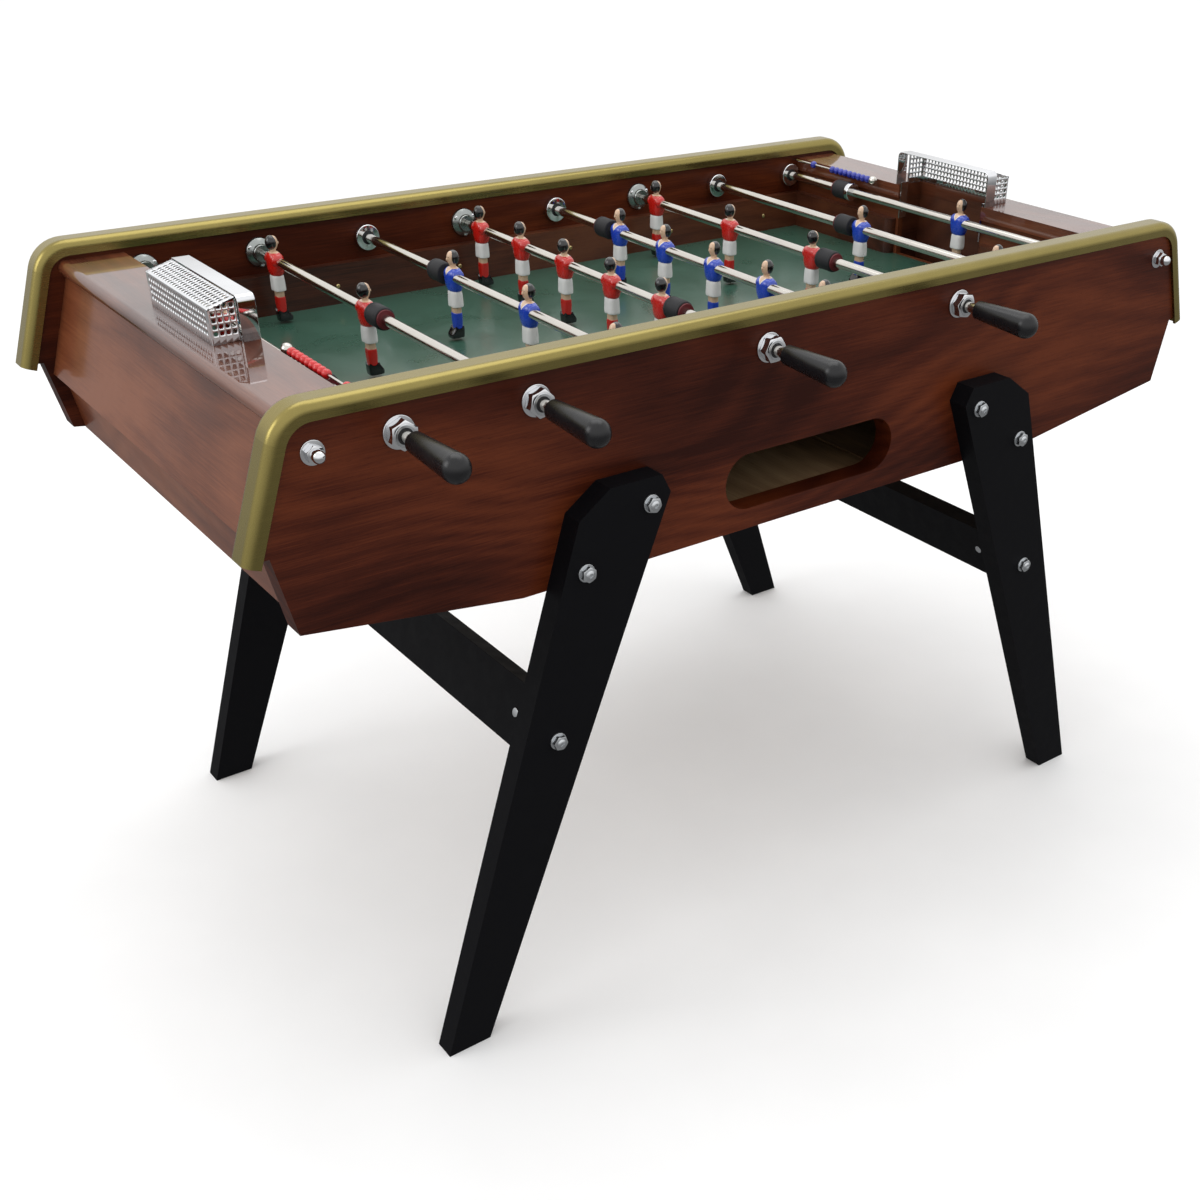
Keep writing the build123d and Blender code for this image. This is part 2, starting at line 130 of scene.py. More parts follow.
# ---------------------------------------------------------------- material building
class Finish:
    """A node material in the making. Values that are sockets are linked, others are set."""

    def __init__(self, name, **values):
        self.material = bpy.data.materials.new(name)
        self.material.use_nodes = True
        self.tree = self.material.node_tree
        self.shader = self.tree.nodes["Principled BSDF"]
        for socket, value in values.items():
            self.feed(self.shader.inputs[socket.replace("_", " ")], value)

    def feed(self, socket, value):
        if isinstance(value, bpy.types.NodeSocket):
            self.tree.links.new(value, socket)
        else:
            socket.default_value = value

    def add(self, kind, inputs, output=0, **settings):
        node = self.tree.nodes.new("ShaderNode" + kind)
        for key, value in settings.items():
            setattr(node, key, value)
        for key, value in inputs.items():
            self.feed(node.inputs[key], value)
        return node.outputs[output]

    def place(self, stretch=(1, 1, 1), shift=(0, 0, 0)):
        """The piece's own coordinates, in metres times the stretch along each axis."""
        here = self.add("TexCoord", {}, output="Object")
        return self.add("Mapping", {"Vector": here, "Scale": stretch, "Location": shift})

    def noise(self, where, scale, detail=3.0, roughness=0.5, distortion=0.0):
        return self.add("TexNoise", {"Vector": where, "Scale": scale, "Detail": detail,
                                     "Roughness": roughness, "Distortion": distortion})

    def math(self, operation, first, second=0.0):
        return self.add("Math", {0: first, 1: second}, operation=operation)

    def span(self, value, low, high, to_low=0.0, to_high=1.0):
        return self.add("MapRange", {"Value": value, "From Min": low, "From Max": high,
                                     "To Min": to_low, "To Max": to_high})

    def ramp(self, factor, *stops):
        colour = self.add("ValToRGB", {"Fac": factor})
        band = colour.node.color_ramp
        while len(band.elements) < len(stops):
            band.elements.new(0.5)
        for element, (position, shade) in zip(band.elements, stops):
            element.position = position
            element.color = (*shade, 1)
        return colour

    def blend(self, factor, first, second, mode="MIX"):
        made = self.add("Mix", {0: factor}, output=2, data_type="RGBA", blend_type=mode)
        for index, value in ((6, first), (7, second)):
            self.feed(made.node.inputs[index], value)
        return made

    def bump(self, height, distance, strength=1.0, under=None):
        inputs = {"Height": height, "Distance": distance, "Strength": strength}
        if under:
            inputs["Normal"] = under
        return self.add("Bump", inputs)

    def done(self, **values):
        for socket, value in values.items():
            self.feed(self.shader.inputs[socket.replace("_", " ")], value)
        return self.material


def rgb(red, green, blue):
    return (red, green, blue, 1)


# ---------------------------------------------------------------- the materials
def wood(name, grain, dark, middle, light, gloss, coat, pores=1.0, level=0.25):
    """Stained mahogany with its grain along X (0) or Y (1), under lacquer."""
    f = Finish(name, Coat_Weight=coat, Coat_Roughness=gloss, Specular_IOR_Level=level)

    def stretched(along, across):
        scale = [across, across, across]
        scale[grain] = along
        return scale

    broad = f.noise(f.place(stretched(1.0, 3.0), (3.1, 1.7, 5.2)), 2.4, 3, 0.5, 0.4)
    bend = f.noise(f.place(stretched(1.0, 2.2), (0.7, 0.2, 0.9)), 1.3, 2, 0.4)
    across = f.add("SeparateXYZ", {0: f.place()}, output=2 if grain == 0 else 0)
    arch = f.math("ADD", f.math("MULTIPLY", across, 26.0), f.math("MULTIPLY", bend, 17.0))
    flame = f.math("ABSOLUTE", f.math("SUBTRACT", f.math("FRACT", arch), 0.5))
    streak = f.noise(f.place(stretched(1.0, 40.0)), 11, 4, 0.6, 0.1)
    fibre = f.noise(f.place(stretched(1.0, 40.0)), 24, 3, 0.6)
    figure = f.math("ADD", f.math("MULTIPLY", broad, 0.62), f.math("MULTIPLY", flame, 0.14))
    figure = f.math("ADD", figure, f.math("MULTIPLY", streak, 0.20))
    figure = f.math("ADD", figure, f.math("MULTIPLY", fibre, 0.20))
    colour = f.ramp(figure, (0.42, dark), (0.545, middle), (0.68, light))
    pore_field = f.noise(f.place(stretched(1.0, 15.0), (7, 3, 2)), 95, 2, 0.6)
    pore = f.span(pore_field, 0.60, 0.72)
    colour = f.blend(f.math("MULTIPLY", pore, 0.40 * pores), colour,
                     rgb(*(c * 0.4 for c in dark)), "MIX")
    wear = f.noise(f.place((1, 1, 1)), 7, 4, 0.6)
    height = f.math("SUBTRACT", f.math("MULTIPLY", fibre, 0.5), f.math("MULTIPLY", pore, pores))
    return f.done(Base_Color=colour, Roughness=f.span(wear, 0.3, 0.7, 0.38, 0.52),
                  Normal=f.bump(height, 0.00008, 0.20 * pores))


def metal(name, colour, roughness, spread=0.08, brushed=None, scratch=0.00002):
    """Metal with fine wear. Brushed is the stretch of its brush lines along X, Y and Z."""
    f = Finish(name, Metallic=1.0)
    fine = f.noise(f.place(brushed or (1, 1, 1)), 300 if brushed else 90, 3, 0.6)
    stain = f.noise(f.place((1, 1, 1), (2, 5, 1)), 22, 4, 0.6)
    tint = f.span(stain, 0.3, 0.75, 0.90, 1.0)
    shade = f.blend(1.0, rgb(*colour), tint, "MULTIPLY")
    rough = f.math("ADD", f.span(fine, 0.3, 0.7, roughness - spread / 2, roughness + spread),
                   f.span(stain, 0.5, 0.8, 0.0, spread))
    return f.done(Base_Color=shade, Roughness=rough, Normal=f.bump(fine, scratch, 0.20))


def paint(name, colour, roughness=0.25, coat=0.5, mottle=0.12, orange_peel=0.00006):
    """Brushed or sprayed gloss paint, thinner and darker in places."""
    f = Finish(name, Coat_Weight=coat, Coat_Roughness=0.08, Specular_IOR_Level=0.45)
    cloud = f.noise(f.place(), 180, 3, 0.55)
    drift = f.noise(f.place(shift=(4, 1, 9)), 45, 3, 0.5)
    shade = f.blend(f.span(drift, 0.35, 0.7, 0.0, mottle * 2), rgb(*colour),
                    rgb(*(c * 0.55 for c in colour)))
    return f.done(Base_Color=shade, Roughness=f.span(cloud, 0.3, 0.7, roughness, roughness + 0.14),
                  Normal=f.bump(cloud, orange_peel, 0.5))


def plastic(name, colour, roughness, grain=900, depth=0.00003, level=0.4):
    f = Finish(name, Specular_IOR_Level=level)
    fine = f.noise(f.place(), grain, 2, 0.6)
    worn = f.noise(f.place(shift=(1, 8, 3)), 40, 4, 0.6)
    shade = f.blend(f.span(worn, 0.50, 0.8, 0.0, 0.30), rgb(*colour),
                    rgb(*(min(1, c * 1.3 + 0.001) for c in colour)))
    return f.done(Base_Color=shade, Roughness=f.span(worn, 0.3, 0.7, roughness, roughness + 0.12),
                  Normal=f.bump(fine, depth, 0.4))


def linoleum():
    """Green playing surface with a hard sheen, faint marbling and fine scratches."""
    f = Finish("green_lino", Specular_IOR_Level=0.5, Coat_Weight=0.35, Coat_Roughness=0.12)
    marble = f.noise(f.place(), 9, 6, 0.65, 0.8)
    speck = f.noise(f.place(), 420, 2, 0.7)
    colour = f.ramp(marble, (0.30, (0.028, 0.082, 0.056)), (0.72, (0.040, 0.104, 0.074)))
    colour = f.blend(f.span(speck, 0.55, 0.8, 0.0, 0.15), colour, rgb(0.07, 0.13, 0.10))
    scratch = f.span(f.noise(f.place((1, 14, 1)), 60, 2, 0.5), 0.62, 0.70)
    return f.done(Base_Color=colour, Roughness=f.span(marble, 0.3, 0.7, 0.24, 0.40),
                  Normal=f.bump(f.math("ADD", marble, f.math("MULTIPLY", scratch, 0.1)),
                                0.0004, 0.15))


def shirt_cloth(name, colour):
    """Painted shirt with a white trimmed V neck, open on the chest side."""
    f = Finish(name, Coat_Weight=0.7, Coat_Roughness=0.08, Specular_IOR_Level=0.5)
    here = f.add("TexCoord", {}, output="Object")
    parts = f.add("SeparateXYZ", {0: here}).node.outputs
    beside = f.math("ABSOLUTE", parts["Y"])
    opening = f.math("SUBTRACT", f.math("MULTIPLY", f.math("SUBTRACT", parts["Z"], 0.0055), 0.75),
                     beside)
    chest = f.span(parts["X"], 0.001, 0.002)
    nape = f.span(parts["Z"], 0.0116, 0.0120)
    neck = f.math("MAXIMUM", f.math("MULTIPLY", f.span(opening, 0.0, 0.0002), chest), nape)
    trim = f.math("MULTIPLY", f.span(opening, -0.0016, -0.0014), chest)
    drift = f.noise(f.place(), 60, 3, 0.5)
    shade = f.blend(f.span(drift, 0.35, 0.75, 0.0, 0.3), rgb(*colour),
                    rgb(*(c * 0.5 for c in colour)))
    shade = f.blend(trim, shade, rgb(0.70, 0.66, 0.60))
    shade = f.blend(neck, shade, rgb(0.62, 0.42, 0.28))
    cloud = f.noise(f.place(), 200, 3, 0.55)
    return f.done(Base_Color=shade, Roughness=f.span(cloud, 0.3, 0.7, 0.22, 0.34),
                  Normal=f.bump(cloud, 0.00008, 0.5))


def pale_floor():
    f = Finish("floor", Specular_IOR_Level=0.2)
    cloud = f.noise(f.place(), 3, 3, 0.5)
    shade = f.ramp(cloud, (0.3, (0.88, 0.88, 0.88)), (0.7, (0.92, 0.92, 0.92)))
    return f.done(Base_Color=shade, Roughness=f.span(cloud, 0.3, 0.7, 0.8, 0.9))


RED, BLUE = (0.52, 0.010, 0.006), (0.010, 0.050, 0.46)
MAHOGANY = dict(dark=(0.022, 0.0034, 0.0012), middle=(0.050, 0.0085, 0.0025),
                light=(0.098, 0.0200, 0.0052))
ORANGE = dict(dark=(0.058, 0.0130, 0.0046), middle=(0.110, 0.0290, 0.0105),
              light=(0.175, 0.0540, 0.0210))
M = {
    "wall": wood("mahogany_along", 0, **MAHOGANY, gloss=0.22, coat=0.10, level=0.08),
    "board": wood("mahogany_across", 1, **ORANGE, gloss=0.12, coat=0.45, pores=0.5, level=0.12),
    "top": wood("lacquered_top", 1, **ORANGE, gloss=0.02, coat=1.0, pores=0.15, level=0.2),
    "inner": wood("mahogany_inside", 0, dark=(0.024, 0.006, 0.0025),
                  middle=(0.066, 0.017, 0.007), light=(0.11, 0.034, 0.013), gloss=0.2,
                  coat=0.4),
    "plywood": wood("plywood", 1, dark=(0.10, 0.055, 0.025), middle=(0.22, 0.13, 0.065),
                    light=(0.34, 0.22, 0.12), gloss=0.5, coat=0.05),
    "lino": linoleum(),
    "brass": metal("satin_brass", (0.285, 0.232, 0.078), 0.26, 0.04, (0.02, 1, 1), 0.00001),
    "chrome": metal("chrome", (0.80, 0.81, 0.83), 0.07, 0.05),
    "dark_chrome": metal("dark_chrome", (0.34, 0.36, 0.35), 0.22, 0.10),
    "zinc": metal("zinc", (0.62, 0.64, 0.66), 0.26, 0.12),
    "steel": metal("rod_steel", (0.66, 0.63, 0.58), 0.14, 0.06, (1, 0.02, 1)),
    "screw": metal("brass_screw", (0.62, 0.50, 0.24), 0.25, 0.10),
    "rubber": plastic("rubber", (0.012, 0.012, 0.014), 0.62),
    "grip": plastic("black_plastic", (0.006, 0.006, 0.007), 0.22, 500),
    "leg_paint": plastic("black_paint", (0.0022, 0.0022, 0.0032), 0.55, 1400, 0.00003, 0.10),
    "disc": plastic("maroon_disc", (0.10, 0.008, 0.012), 0.45),
    "red_bead": paint("red_plastic", (0.60, 0.010, 0.012)),
    "blue_bead": paint("blue_plastic", (0.018, 0.030, 0.33)),
    "black": paint("black_enamel", (0.004, 0.004, 0.005), 0.12, 0.6),
    "skin": paint("skin_enamel", (0.62, 0.42, 0.28)),
    "white": paint("white_enamel", (0.74, 0.73, 0.72), mottle=0.05),
    "red_shirt": shirt_cloth("red_shirt", RED),
    "blue_shirt": shirt_cloth("blue_shirt", BLUE),
    "red_socks": paint("red_socks", RED),
    "blue_socks": paint("blue_socks", BLUE),
    "lips": paint("lip_enamel", (0.45, 0.12, 0.09)),
}


# ---------------------------------------------------------------- mesh helpers
def new_piece(name, bm, materials, body, replaced=(), sharp=35):
    """A finished mesh piece that rides on a body."""
    bmesh.ops.recalc_face_normals(bm, faces=bm.faces)
    mesh = bpy.data.meshes.new(name)
    bm.to_mesh(mesh)
    bm.free()
    for material in materials:
        mesh.materials.append(material)
    mesh.shade_smooth()
    mesh.set_sharp_from_angle(angle=math.radians(sharp))
    return put(name, mesh, Matrix(), body, replaced)


def put(name, mesh, matrix, body, replaced=()):
    piece = bpy.data.objects.new(name, mesh)
    piece.matrix_world = matrix
    bpy.context.scene.collection.objects.link(piece)
    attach(piece, body)
    if replaced:
        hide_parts(*replaced)
    return piece


def give(material, *nodes):
    """Paints CAD nodes with one material."""
    for node in nodes:
        mesh = NODES[node].data
        mesh.materials.clear()
        mesh.materials.append(M[material])


def welded(node):
    bm = bmesh.new()
    bm.from_mesh(NODES[node].data)
    bmesh.ops.remove_doubles(bm, verts=bm.verts, dist=1e-5)
    return bm


def solids(node):
    """The box of each separate solid in a CAD node, as (low, high)."""
    bm = welded(node)
    found, waiting = [], set(bm.verts)
    while waiting:
        group, edge_of = set(), [waiting.pop()]
        while edge_of:
            vertex = edge_of.pop()
            group.add(vertex)
            for edge in vertex.link_edges:
                other = edge.other_vert(vertex)
                if other in waiting:
                    waiting.remove(other)
                    edge_of.append(other)
        low = Vector(map(min, *(v.co for v in group)))
        high = Vector(map(max, *(v.co for v in group)))
        found.append((low, high))
    bm.free()
    return found


def softened(node, material, width, segments=2, sharp=30):
    """A copy of a CAD node with its edges rounded, which stands for it."""
    bm = welded(node)
    bmesh.ops.dissolve_limit(bm, angle_limit=math.radians(0.5), verts=bm.verts, edges=bm.edges)
    mesh = bpy.data.meshes.new(node + "_shape")
    bm.to_mesh(mesh)
    bm.free()
    if "custom_normal" in mesh.attributes:
        mesh.attributes.remove(mesh.attributes["custom_normal"])
    mesh.materials.clear()
    mesh.materials.append(M[material])
    mesh.shade_smooth()
    mesh.set_sharp_from_angle(angle=math.radians(sharp))
    piece = put(node + "_shape", mesh, Matrix(), BODY_OF[node], (node,))
    edges = piece.modifiers.new("rounded_edges", "BEVEL")
    edges.width, edges.segments = width, segments
    edges.limit_method, edges.angle_limit = "ANGLE", math.radians(sharp)
    edges.use_clamp_overlap = True
    edges.harden_normals = False
    return piece


def between(rows, steps):
    """Rows of numbers with a smooth curve of more rows through them."""
    ends = [rows[0], *rows, rows[-1]]
    result = []
    for a, b, c, d in zip(ends, ends[1:], ends[2:], ends[3:]):
        for i in range(steps):
            t = i / steps
            result.append([0.5 * (2 * q + (r - p) * t + (2 * p - 5 * q + 4 * r - s) * t ** 2
                                  + (3 * q - p - 3 * r + s) * t ** 3)
                           for p, q, r, s in zip(a, b, c, d)])
    result.append(rows[-1])
    return result


def skin_over(bm, rings, index=0):
    """Joins closed rings of points, in order, and closes both ends."""
    rows = [[bm.verts.new(point) for point in ring] for ring in rings]
    count = len(rows[0])
    faces = [(a[i], a[(i + 1) % count], b[(i + 1) % count], b[i])
             for a, b in zip(rows, rows[1:]) for i in range(count)]
    for row, step in ((rows[0], -1), (rows[-1], 1)):
        middle = bm.verts.new(sum((v.co for v in row), Vector()) / count)
        faces += [(row[i], row[(i + step) % count], middle) for i in range(count)]
    for corners in faces:
        bm.faces.new(corners).material_index = index


def turned(bm, centre, direction, profile, index=0, count=40, shape=None):
    """A solid of revolution from (distance, radius) pairs along a direction, in metres.
    shape is an optional function of angle that scales a ring, given as (distance, radius)."""
    direction = Vector(direction).normalized()
    side = direction.orthogonal().normalized()
    if abs(direction.z) < 0.9:
        side = direction.cross(Vector((0, 0, 1))).normalized()
    other = direction.cross(side)
    rings = []
    for distance, radius in profile:
        ring = []
        for i in range(count):
            angle = 2 * math.pi * i / count
            along, out = shape(angle, distance, radius) if shape else (distance, radius)
            ring.append(Vector(centre) + direction * along
                        + (side * math.cos(angle) + other * math.sin(angle)) * out)
        rings.append(ring)
    skin_over(bm, rings, index)


def rounded_bar(start, end, radius, edge):
    """Profile of a plain cylinder with rounded rims."""
    steps = 4
    profile = [(start, radius - edge)]
    for i in range(1, steps + 1):
        angle = math.pi / 2 * i / steps
        profile.append((start + edge * (1 - math.cos(angle)), radius - edge
                        + edge * math.sin(angle)))
    return profile + [(start + end - d, r) for d, r in reversed(profile)]


def hex_head(bm, centre, direction, start, height, flats, index=0, both=False, turn=0.0):
    """A hexagon head or nut whose corners are turned off to a circle."""
    flat = flats / 2
    crown = flat * 0.94

    def corner(angle):
        wedge = math.radians(60)
        return flat / math.cos((angle + turn) % wedge - wedge / 2)

    def shape(angle, distance, radius):
        if radius == 0:
            return distance, crown
        full = corner(angle)
        drop = (full - crown) * 0.5
        if distance > start + height / 2:
            return distance - drop, full
        return distance + (drop if both else 0), full

    profile = [(start, 0 if both else 1), (start, 1), (start + height, 1), (start + height, 0)]
    turned(bm, centre, direction, profile, index, 48, shape)


# ---------------------------------------------------------------- men
def section(z, depth, width, shift=0.0, power=2.4, groove=0.0, count=32):
    """A rounded cross-section at height z, in mm, with an optional groove front and back."""
    points = []
    for i in range(count):
        angle = 2 * math.pi * i / count
        c, s = math.cos(angle), math.sin(angle)
        x = math.copysign(abs(c) ** (2 / power), c) * depth / 2
        y = math.copysign(abs(s) ** (2 / power), s) * width / 2
        x *= 1 - groove * math.exp(-(y / 1.6) ** 2)
        points.append(Vector((x + shift, y, z)) * MM)
    return points


def egg(bm, centre, depth, width, height, index, chin=0.0, rows=14, count=24):
    """An egg shape whose lower end is narrower by chin."""
    rings = []
    for j in range(1, rows):
        lift = -math.cos(math.pi * j / rows)
        reach = math.sin(math.pi * j / rows) * (1 - chin * (1 - lift) / 2)
        rings.append([Vector((centre[0] + depth / 2 * reach * math.cos(2 * math.pi * i / count),
                              centre[1] + width / 2 * reach * math.sin(2 * math.pi * i / count),
                              centre[2] + height / 2 * lift)) * MM for i in range(count)])
    skin_over(bm, rings, index)


def man_mesh(team):
    """A cast and painted footballer facing +X, with the rod's axis along Y at his origin."""
    bm = bmesh.new()
    torso = [(-18, 15, 20.5, 0), (-16, 17.5, 23.5, 0), (-10, 20, 27.5, 0.2),
             (-3, 21, 29.5, 0.5), (4, 21, 30, 0.6), (8, 19, 27.5, 0.3), (11, 14.5, 20, 0),
             (13, 9.5, 11.5, 0)]
    skin_over(bm, [section(*row) for row in between(torso, 3)], SHIRT)
    for side in (-1, 1):
        egg(bm, (-0.3, side * 11.2, 2.2), 17.5, 10.2, 17.5, SHIRT)
    shorts = [(-38.6, 15.6, 20.2), (-38.2, 17.2, 22), (-34, 17.6, 22.4), (-26, 17.0, 21.8),
              (-20, 16.2, 21), (-15, 13.5, 18)]
    skin_over(bm, [section(z, d, w, 0, 2.8, 0.10 if z < -24 else 0.04)
                   for z, d, w in between(shorts, 3)], SHORTS)
    knees = [(-50, 11, 13.6), (-46, 11.6, 14.4), (-41, 11.6, 15), (-36, 12.6, 16)]
    skin_over(bm, [section(z, d, w, 0, 2.8, 0.12) for z, d, w in between(knees, 3)], SKIN)
    socks = [(-72, 12, 14), (-67, 11.6, 13.2), (-60, 12.6, 14.2), (-54, 13.0, 15.2),
             (-49, 12.6, 15.2), (-47.4, 12.4, 14.8), (-47, 11.4, 13.6)]
    skin_over(bm, [section(z, d, w, 0, 3.0, 0.10) for z, d, w in between(socks, 3)], SOCKS)
    boots = [(-80, 18.6, 13.4, 3.0), (-79.2, 19.8, 14.6, 3.0), (-75, 20.2, 16, 2.9),
             (-70, 17, 16.2, 1.2), (-66.5, 14.6, 15.6, 0.2)]
    rings = [section(*row, power=5) for row in between(boots, 3)]
    for i, point in enumerate(rings[-1]):
        point.z += 2.0 * MM * (2 * abs(math.sin(4 * math.pi * i / len(rings[-1]))) - 1)
    skin_over(bm, rings, HAIR)
    neck = [(9, 9.6, 10.6), (13, 8.0, 8.6), (18, 7.6, 8.2)]
    skin_over(bm, [section(z, d, w) for z, d, w in between(neck, 3)], SKIN)
    egg(bm, (1.2, 0, 23.6), 14.4, 13.4, 19.6, SKIN, 0.20)
    egg(bm, (-1.7, 0, 24.6), 15.6, 15.4, 19.0, HAIR, 0.0)
    egg(bm, (7.7, 0, 23.6), 2.6, 1.9, 4.4, SKIN, -0.5, 8, 12)
    for side in (-1, 1):
        egg(bm, (7.15, side * 2.5, 26.2), 0.9, 1.7, 0.9, HAIR, 0, 6, 10)
    egg(bm, (7.05, 0, 20.2), 0.9, 3.0, 0.8, LIPS, 0, 6, 10)
    bmesh.ops.recalc_face_normals(bm, faces=bm.faces)
    mesh = bpy.data.meshes.new(team + "_man")
    bm.to_mesh(mesh)
    bm.free()
    for key in ("black", "skin", team + "_shirt", "white", team + "_socks", "lips"):
        mesh.materials.append(M[key])
    mesh.shade_smooth()
    mesh.set_sharp_from_angle(angle=math.radians(50))
    return mesh


def make_men():
    meshes = {team: man_mesh(team) for team in ("red", "blue")}
    rod_height = 34 * MM
    for node in sorted(n for n in NODES if n.endswith("_players")):
        team = node.split("_")[0]
        facing = Matrix() if team == "red" else HALF_TURN
        places = sorted(solids(node), key=lambda box: box[0].y)
        for number, (low, high) in enumerate(places, 1):
            offset = 3 * MM if team == "red" else -3 * MM
            middle = (low + high) / 2
            spot = Vector((middle.x - offset, middle.y, high.z - rod_height))
            name = node.replace("players", f"man_{number}")
            put(name, meshes[team], Matrix.Translation(spot) @ facing, BODY_OF[node],
                (node,))


# ---------------------------------------------------------------- rods
def make_collars():
    """Rubber sleeves with their end discs, and the goalkeepers' chrome rings."""
    disc, disc_radius, sleeve = 0.003, 0.012, 0.030
    for node in sorted(n for n in NODES if n.endswith("_collar")):
        low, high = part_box(node)
        radius = (high.z - low.z) / 2
        to_handle = -1 if node.startswith("red") else 1
        outer = low.y if to_handle < 0 else high.y
        centre = Vector(((low.x + high.x) / 2, outer, (low.z + high.z) / 2))
        axis = (0, -to_handle, 0)
        bm = bmesh.new()
        turned(bm, centre, axis, rounded_bar(0, disc, disc_radius, 0.0006), 1)
        end = disc + sleeve
        turned(bm, centre, axis, rounded_bar(disc, end, radius, 0.0022), 0)
        for place in (disc + 0.004, end - 0.0056):
            turned(bm, centre, axis, rounded_bar(place, place + 0.0016, radius + 0.0003, 0.0007))
        if high.y - low.y > end + 0.001:
            turned(bm, centre, axis, rounded_bar(end, high.y - low.y, radius, 0.0012), 2)
        new_piece(node + "_parts", bm, [M["rubber"], M["disc"], M["chrome"]], BODY_OF[node],
                  (node,))


def make_bearings():
    """A bush with its inner ring, and the washer and nut that clamp it to the wall."""
    bm = bmesh.new()
    wall_outside = abs(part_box("near_side_wall")[0].y)
    ring, washer, nut_flats = 0.010, 0.003, 0.028
    for low, high in solids("rod_bearings"):
        outward = 1 if low.y > 0 else -1
        inside, outside = sorted((abs(low.y), abs(high.y)))
        radius = (high.z - low.z) / 2
        centre = Vector(((low.x + high.x) / 2, 0, (low.z + high.z) / 2))
        axis = (0, outward, 0)
        turned(bm, centre, axis, rounded_bar(inside, inside + ring, radius, 0.0012), 0)
        turned(bm, centre, axis, rounded_bar(inside - 0.0003, inside + 0.001, 0.0095, 0.0003), 1)
        start = wall_outside + washer
        turned(bm, centre, axis, rounded_bar(wall_outside, start, 0.018, 0.0008), 0, 48)
        hex_head(bm, centre, axis, start, outside - start - 0.0005, nut_flats, 0, True,
                 centre.x * 40)
        turned(bm, centre, axis, rounded_bar(start, outside, 0.0118, 0.0006), 2)
        turned(bm, centre, axis, rounded_bar(outside - 0.0008, outside + 0.0002, 0.0088, 0.0003), 1)
    new_piece("rod_bearing_parts", bm, [M["chrome"], M["rubber"], M["zinc"]], "table",
              ("rod_bearings",))


def screw_head(bm, centre, direction, radius, index=0):
    profile = [(0, radius), (radius * 0.25, radius * 0.94), (radius * 0.45, radius * 0.7),
               (radius * 0.5, radius * 0.45), (radius * 0.3, radius * 0.38),
               (radius * 0.3, radius * 0.1)]
    turned(bm, centre, direction, profile, index, 20)


def make_end_flanges():
    """The fixed ends of the guide rods: a flange with a hub and three screws."""
    screw_angles = [math.radians(degrees) for degrees in (30, 150, 270)]
    screw_circle, screw_seat, screw_radius = 0.0160, 0.0052, 0.0034
    bm = bmesh.new()
    for low, high in solids("end_flanges"):
        inward = -1 if low.y > 0 else 1
        wall = high.y if low.y > 0 else low.y
        radius = (high.z - low.z) / 2
        centre = Vector(((low.x + high.x) / 2, wall, (low.z + high.z) / 2))
        axis = (0, inward, 0)
        depth = high.y - low.y
        turned(bm, centre, axis, [(0, radius), (0.0035, radius), (0.005, radius - 0.001),
                                  (0.0075, 0.0135), (0.0082, 0.0125), (depth - 0.001, 0.0120),
                                  (depth, 0.0112), (depth, 0.0050), (0.004, 0.0050)], 0, 48)
        for angle in screw_angles:
            spot = centre + Vector((screw_circle * math.cos(angle), inward * screw_seat,
                                    screw_circle * math.sin(angle)))
            screw_head(bm, spot, axis, screw_radius, 1)
    new_piece("end_flange_parts", bm, [M["dark_chrome"], M["chrome"]], "table",
              ("end_flanges",))


# ---------------------------------------------------------------- fasteners
def make_leg_bolts():
    """Zinc bolt heads with washers on the legs, and the crossbars' cross dowels."""
    leg_outside = abs(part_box("legs")[0].y)
    head, washer, washer_radius, head_flats = 0.0065, 0.0020, 0.011, 0.017
    dowel_length, dowel_radius, bar_lean = 0.024, 0.0060, 0.35
    bm = bmesh.new()
    for low, high in solids("leg_bolts"):
        outward = 1 if low.y > 0 else -1
        centre = Vector(((low.x + high.x) / 2, 0, (low.z + high.z) / 2))
        face = max(abs(low.y), abs(high.y))
        if face < leg_outside:
            middle = (low + high) / 2
            lean = Vector((1, 0, math.copysign(bar_lean, middle.x)))
            turned(bm, middle - lean.normalized() * dowel_length / 2, lean,
                   rounded_bar(0, dowel_length, dowel_radius, 0.0006), 0, 24)
            continue
        centre.y = outward * (face - head - washer)
        turned(bm, centre, (0, outward, 0), rounded_bar(-0.02, washer, washer_radius, 0.0006), 0)
        hex_head(bm, centre, (0, outward, 0), washer, head, head_flats, 0, False, centre.x * 30)
        screw_head(bm, centre + Vector((0, outward * (washer + head - 0.001), 0)),
                   (0, outward, 0), 0.0062)
    new_piece("leg_bolt_heads", bm, [M["zinc"]], "table", ("leg_bolts",))


def make_apron_bolts():
    """Washer, nut and domed nut at each end of both aprons."""
    wall = abs(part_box("near_side_wall")[0].y)
    washer, washer_radius, nut, flats = 0.002, 0.013, 0.0080, 0.017
    dome_radius, dome_centre = 0.0070, 0.0150
    bm = bmesh.new()
    for low, high in solids("apron_bolts"):
        outward = 1 if low.y > 0 else -1
        centre = Vector(((low.x + high.x) / 2, outward * wall, (low.z + high.z) / 2))
        axis = (0, outward, 0)
        turned(bm, centre, axis, rounded_bar(-washer, washer, washer_radius, 0.0006), 0)
        hex_head(bm, centre, axis, washer, nut, flats, 0, True, 0.4)
        quarter = [math.pi / 2 * k / 8 for k in range(8)]
        dome = [(nut, dome_radius)] + [(dome_centre + dome_radius * math.sin(a),
                                        dome_radius * math.cos(a)) for a in quarter]
        turned(bm, centre, axis, dome, 0, 32)
    new_piece("apron_bolt_nuts", bm, [M["chrome"]], "table", ("apron_bolts",))


